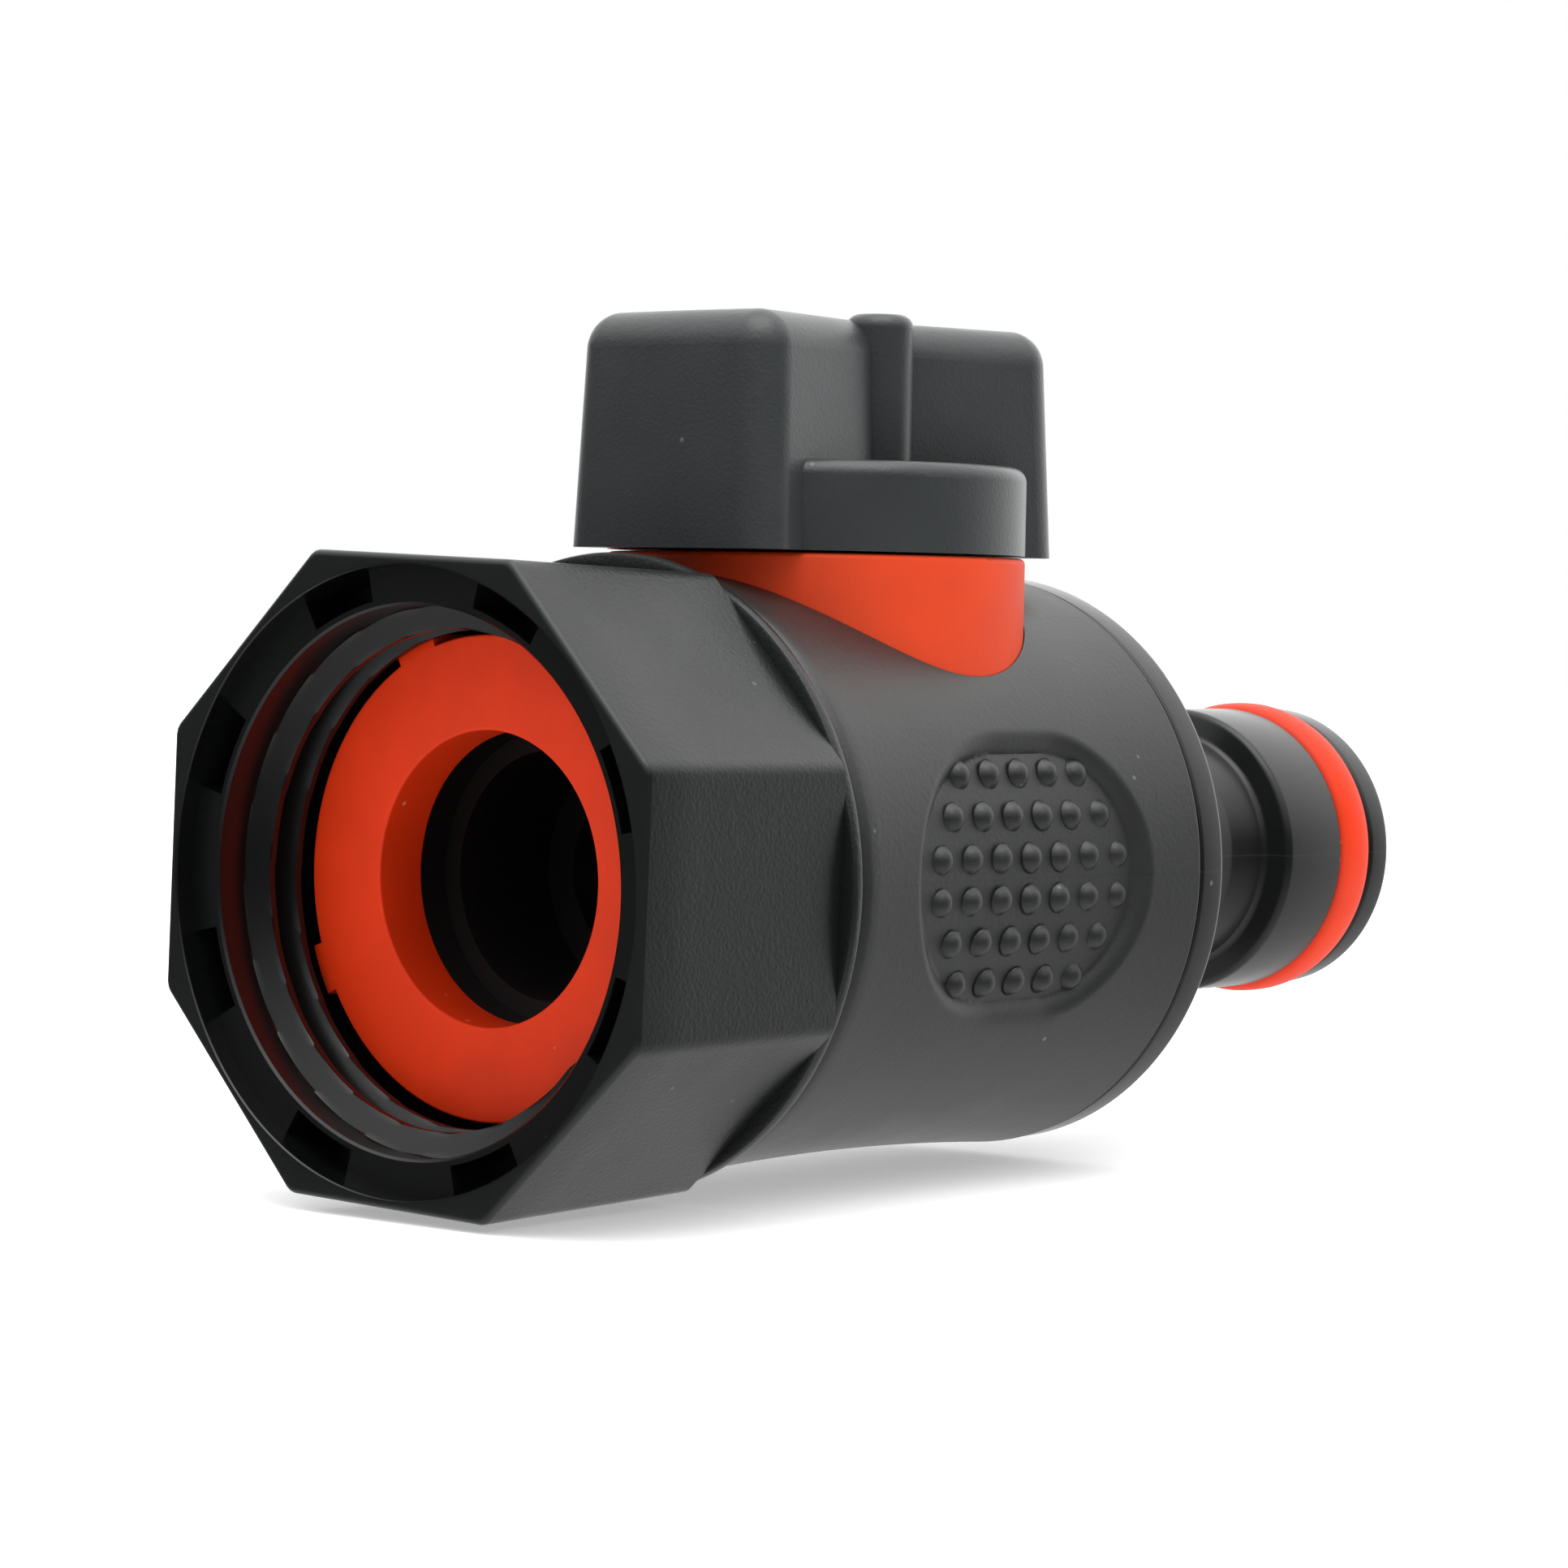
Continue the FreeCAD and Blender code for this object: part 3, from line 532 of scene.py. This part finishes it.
# Thermoplastic elastomer moulded over the body: dark grey with a soft sheen and a hint of grain.
soft_grey_elastomer = moulded("soft_grey_elastomer", "#1f2120", 0.42, 0.3, 0.3, specks=0.4, shine=0.65)
parting_line_and_highlight(soft_grey_elastomer)
sleeve = piece("grip_sleeve_solid", wrapped(angles, rows), ring_mesh(len(rows), len(angles)),
               soft_grey_elastomer, crease_angle)
bpy.ops.mesh.primitive_cylinder_add(vertices=256, radius=turret_hole_r / 1000, depth=0.03,
                                    location=(stem_x / 1000, 0, 0.015))
cutter = bpy.context.object
cut = sleeve.modifiers.new("turret hole", "BOOLEAN")
cut.operation = "DIFFERENCE"
cut.solver = "EXACT"
cut.object = cutter
bpy.context.view_layer.update()
evaluated = sleeve.evaluated_get(bpy.context.evaluated_depsgraph_get())
mesh = bpy.data.meshes.new_from_object(evaluated)
mesh.shade_smooth()
mesh.set_sharp_from_angle(angle=math.radians(crease_angle))
grip = bpy.data.objects.new("grip_sleeve_visual", mesh)
bpy.context.scene.collection.objects.link(grip)
bpy.data.objects.remove(sleeve)
bpy.data.objects.remove(cutter)
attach(grip, "body")
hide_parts("grip_sleeve")


# ---- grip dots: raised domes on the thumb pads ---------------------------------------------------
# Six rows of 5, 6, 7, 7, 6 and 5 domes on each pad, 1.6 mm across with their flared foot,
# staggered by half a pitch. They are moulded with the grip, in the same elastomer.
dot_pitch = 2.45
row_pitch = 2.1
dot_r = 0.68
dot_flare = 0.2
dot_height = 0.52
widest_row = 7
row_count = 6
pad_floor_r = waist_r - pad_depth + 0.03

dots_tree = bpy.data.node_groups.new("pad dots", "GeometryNodeTree")
dots_tree.interface.new_socket("Geometry", in_out="INPUT", socket_type="NodeSocketGeometry")
sockets = {}
for label, value in (("Column pitch", dot_pitch), ("Row pitch", row_pitch), ("Dot radius", dot_r),
                     ("Dot height", dot_height), ("Flare", dot_flare), ("Floor radius", pad_floor_r),
                     ("Middle", stem_x + 0.25), ("Side", -1.0)):
    sockets[label] = dots_tree.interface.new_socket(label, in_out="INPUT", socket_type="NodeSocketFloat")
    sockets[label].default_value = value
material_in = dots_tree.interface.new_socket("Material", in_out="INPUT",
                                             socket_type="NodeSocketMaterial")
dots_tree.interface.new_socket("Geometry", in_out="OUTPUT", socket_type="NodeSocketGeometry")
group_in = add(dots_tree, "NodeGroupInput").outputs


def number(operation, a, b=0.0):
    """Result of one arithmetic node in the dots' tree."""
    return add(dots_tree, "ShaderNodeMath", {0: a, 1: b}, operation=operation).outputs[0]


# A point's column and row come from its index. A row is one dome shorter for each step away from
# the two middle rows, and its spare points at the end are deleted.
points = add(dots_tree, "GeometryNodePoints", {"Count": widest_row * row_count})
index = add(dots_tree, "GeometryNodeInputIndex").outputs[0]
column = number("MODULO", index, widest_row)
line = number("FLOOR", number("DIVIDE", index, widest_row))
line_off = number("SUBTRACT", line, (row_count - 1) / 2)
short_by = number("MAXIMUM", number("SUBTRACT", number("ABSOLUTE", line_off), 0.5), 0.0)
column_off = number("SUBTRACT", column, number("SUBTRACT", (widest_row - 1) / 2,
                                               number("MULTIPLY", short_by, 0.5)))
x_mm = number("ADD", group_in["Middle"], number("MULTIPLY", column_off, group_in["Column pitch"]))
z_mm = number("MULTIPLY", line_off, group_in["Row pitch"])
root = number("SQRT", number("SUBTRACT", number("MULTIPLY", group_in["Floor radius"],
                                                group_in["Floor radius"]),
                             number("MULTIPLY", z_mm, z_mm)))
y_mm = number("MULTIPLY", root, group_in["Side"])
where = add(dots_tree, "ShaderNodeCombineXYZ", {0: x_mm, 1: y_mm, 2: z_mm}).outputs[0]
metres = add(dots_tree, "ShaderNodeVectorMath", {0: where, "Scale": 0.001}, operation="SCALE").outputs[0]
placed = add(dots_tree, "GeometryNodeSetPosition", {"Geometry": points.outputs[0], "Position": metres})
kept = number("SUBTRACT", widest_row, short_by)
outside = add(dots_tree, "FunctionNodeCompare", {0: column, 1: number("SUBTRACT", kept, 0.5)},
              data_type="FLOAT", operation="GREATER_THAN").outputs[0]
shown = add(dots_tree, "GeometryNodeDeleteGeometry", {"Geometry": placed.outputs[0],
                                                      "Selection": outside}, domain="POINT")
outward = add(dots_tree, "ShaderNodeCombineXYZ", {1: y_mm, 2: z_mm}).outputs[0]
aim = add(dots_tree, "FunctionNodeAlignRotationToVector", {"Vector": outward}, axis="Z").outputs[0]
ball = add(dots_tree, "GeometryNodeMeshUVSphere", {"Segments": 24, "Rings": 20, "Radius": 0.001})
# The ball widens towards its equator, so each dome runs out into the pad's floor.
at = add(dots_tree, "GeometryNodeInputPosition").outputs[0]
parts = add(dots_tree, "ShaderNodeSeparateXYZ", {0: at}).outputs
tall = number("ABSOLUTE", number("MULTIPLY", parts["Z"], 1000.0))
spread = number("POWER", number("SUBTRACT", 1.0, tall), 4.0)
wide = number("ADD", number("MULTIPLY", spread, group_in["Flare"]), 1.0)
flared = add(dots_tree, "ShaderNodeCombineXYZ", {0: number("MULTIPLY", parts["X"], wide),
                                                 1: number("MULTIPLY", parts["Y"], wide),
                                                 2: parts["Z"]}).outputs[0]
dome = add(dots_tree, "GeometryNodeSetPosition", {"Geometry": ball.outputs["Mesh"],
                                                  "Position": flared})
size = add(dots_tree, "ShaderNodeCombineXYZ", {0: group_in["Dot radius"], 1: group_in["Dot radius"],
                                               2: group_in["Dot height"]}).outputs[0]
stood = add(dots_tree, "GeometryNodeInstanceOnPoints", {"Points": shown.outputs[0],
                                                        "Instance": dome.outputs[0],
                                                        "Rotation": aim, "Scale": size})
real = add(dots_tree, "GeometryNodeRealizeInstances", {"Geometry": stood.outputs[0]})
smooth = add(dots_tree, "GeometryNodeSetShadeSmooth", {"Geometry": real.outputs[0]})
finish = add(dots_tree, "GeometryNodeSetMaterial", {"Geometry": smooth.outputs[0],
                                                    "Material": group_in["Material"]})
add(dots_tree, "NodeGroupOutput", {0: finish.outputs[0]})

for side, label in ((-1.0, "near"), (1.0, "far")):
    carrier = bpy.data.objects.new("dots_carrier", bpy.data.meshes.new("dots_carrier"))
    bpy.context.scene.collection.objects.link(carrier)
    modifier = carrier.modifiers.new("dots", "NODES")
    modifier.node_group = dots_tree
    modifier[sockets["Side"].identifier] = side
    modifier[material_in.identifier] = soft_grey_elastomer
    bpy.context.view_layer.update()
    evaluated = carrier.evaluated_get(bpy.context.evaluated_depsgraph_get())
    dots = bpy.data.objects.new("grip_dots_" + label, bpy.data.meshes.new_from_object(evaluated))
    bpy.context.scene.collection.objects.link(dots)
    bpy.data.objects.remove(carrier)
    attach(dots, "body")


# ---- pieces kept from the CAD --------------------------------------------------------------------
# The turret, the handle and all the hidden pieces keep their CAD meshes. The body and handle are
# moulded, the seats turned, the seals bought in; each gets its own finish.

# Orange ABS with a fine matt texture: diffuse, with only a broad pale sheen.
matt_orange_abs = moulded("matt_orange_abs", "#cf3a08", 0.6, 0.2, 0.25, specks=0.3,
                          speck_base="#f0a58f", shine=0.3)
# Dark grey ABS, a little smoother than the nut, so its rounded edges catch the light.
satin_grey_abs = moulded("satin_grey_abs", "#2f3233", 0.33, 0.2, 0.35, specks=0.35, shine=0.6)
# Acetal of the ball and stem: black and waxy.
black_acetal = moulded("black_acetal", "#0c0c0d", 0.5, 0.6, 0.1)
# PTFE of the seats and thrust washer: white, waxy and dull.
white_ptfe = moulded("white_ptfe", "#e6e6e2", 0.5, 0.5, 0.1)
# Nitrile O-rings: black and matt.
black_nitrile = moulded("black_nitrile", "#1a1a1a", 0.6, 0.3, 0.15)
# Zinc-plated steel screw: bright grey metal, a little dulled by its plating.
zinc_steel = moulded("zinc_plated_steel", "#9a9da1", 0.38, 0.4, 0.05)
zinc_steel.node_tree.nodes["Principled BSDF"].inputs["Metallic"].default_value = 1.0
# Glass-filled nylon of the spud, seen only down its bore: black and unpolished, and darker than the
# nipple's nylon as painted shade down the bore.
nylon_bore_painted_shade = moulded("nylon_bore_painted_shade", "#060606", 0.6, 0.5, 0.1)
finishes = {
    matt_orange_abs: ["valve_body"],
    satin_grey_abs: ["handle"],
    nylon_bore_painted_shade: ["inlet_spud"],
    black_acetal: ["valve_ball", "valve_stem"],
    white_ptfe: ["inlet_seat", "outlet_seat", "stem_thrust_washer"],
    black_nitrile: ["spud_o_ring", "inlet_seat_o_ring", "outlet_seat_o_ring", "stem_o_ring_lower",
                    "stem_o_ring_upper", "nipple_seal_o_ring"],
    zinc_steel: ["handle_screw"],
}
for material, names in finishes.items():
    for name in names:
        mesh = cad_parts[name].data
        mesh.materials.clear()
        mesh.materials.append(material)


# ---- floor, light and camera ---------------------------------------------------------------------
# A pale sweep under the valve, a studio that is bright above and beyond it and dim on the camera's
# side, and a long lens from the front left, a little above the flow axis.
floor_gap = 0.0002
bpy.ops.mesh.primitive_plane_add(size=4, location=(0, 0, cad_box[0][2] - floor_gap))
floor = bpy.context.object
floor.name = "floor"
# White background paper, lit from beneath: matt and even.
white_paper = bpy.data.materials.new("white_paper")
white_paper.use_nodes = True
paper = white_paper.node_tree.nodes["Principled BSDF"]
paper.inputs["Base Color"].default_value = colour("#fafafa")
paper.inputs["Roughness"].default_value = 0.9
paper.inputs["Emission Color"].default_value = colour("#ffffff")
paper.inputs["Emission Strength"].default_value = 0.35
floor.data.materials.append(white_paper)
floor.visible_glossy = False    # the valve mirrors the studio instead of the paper

world = bpy.data.worlds.new("studio")
bpy.context.scene.world = world
world.use_nodes = True
sky = world.node_tree
direction = add(sky, "ShaderNodeTexCoord").outputs["Generated"]
height = add(sky, "ShaderNodeSeparateXYZ", {0: direction}).outputs["Z"]
# Light by height: a dim horizon, bright overhead and half as bright below.
dim_level = 0.08
above = add(sky, "ShaderNodeMapRange", {0: height, 1: 0.15, 2: 0.85, 3: 0.0, 4: 1.75}).outputs[0]
below = add(sky, "ShaderNodeMapRange", {0: height, 1: -0.15, 2: -0.85, 3: 0.0, 4: 0.75}).outputs[0]
level = add(sky, "ShaderNodeMath", {0: above, 1: below}, operation="ADD").outputs[0]
near_side = add(sky, "ShaderNodeMath", {0: level, 1: dim_level}, operation="ADD").outputs[0]
# The bright far side lies beyond the valve's outlet end.
far_side_way = (0.93, 0.36, 0.0)
facing = add(sky, "ShaderNodeVectorMath", {0: direction, 1: far_side_way},
             operation="DOT_PRODUCT").outputs["Value"]
behind = add(sky, "ShaderNodeMapRange", {0: facing, 1: 0.25, 2: 1.0}).outputs[0]
far_side = add(sky, "ShaderNodeMapRange", {0: height, 1: -0.5, 2: 0.2, 3: 0.8, 4: 1.8}).outputs[0]
lit = add(sky, "ShaderNodeMix", {"Factor": behind, "A": near_side, "B": far_side}).outputs[0]
# The backdrop itself is plain white.
seen = add(sky, "ShaderNodeLightPath").outputs["Is Camera Ray"]
strength = add(sky, "ShaderNodeMix", {"Factor": seen, "A": lit, "B": 1.0}).outputs["Result"]
backdrop = sky.nodes["Background"]
backdrop.inputs["Color"].default_value = (1, 1, 1, 1)
sky.links.new(strength, backdrop.inputs["Strength"])

softbox = bpy.data.lights.new("top softbox", "AREA")
softbox.shape = "SQUARE"
softbox.size = 0.4
softbox.energy = 0.8
softbox_holder = bpy.data.objects.new("top softbox", softbox)
softbox_holder.location = (-0.05, -0.10, 0.45)
aim = Vector((0.03, 0, 0)) - softbox_holder.location
softbox_holder.rotation_euler = aim.to_track_quat("-Z", "Y").to_euler()
bpy.context.scene.collection.objects.link(softbox_holder)

bpy.context.scene.view_settings.view_transform = "Standard"
azimuth = math.radians(-50.357)
elevation = math.radians(2.003)
roll = math.radians(1.119)
distance = 253.628
aside = 1.357
above_axis = 4.243
back = Vector((math.sin(azimuth) * math.cos(elevation), -math.cos(azimuth) * math.cos(elevation),
               math.sin(elevation)))
right = Vector((math.cos(azimuth), math.sin(azimuth), 0))
up = back.cross(right)
camera_x = right * math.cos(roll) + up * math.sin(roll)
camera_y = up * math.cos(roll) - right * math.sin(roll)
lens = bpy.data.cameras.new("camera")
lens.sensor_width = 36
lens.lens = 111.288
lens.clip_start = 0.01
camera = bpy.data.objects.new("camera", lens)
pose = Matrix((camera_x, camera_y, back)).transposed().to_4x4()
from_stem = -aside * camera_x + above_axis * camera_y + distance * back
pose.translation = Vector((stem_x / 1000, 0, 0)) + from_stem / 1000
camera.matrix_world = pose
bpy.context.scene.collection.objects.link(camera)
bpy.context.scene.camera = camera
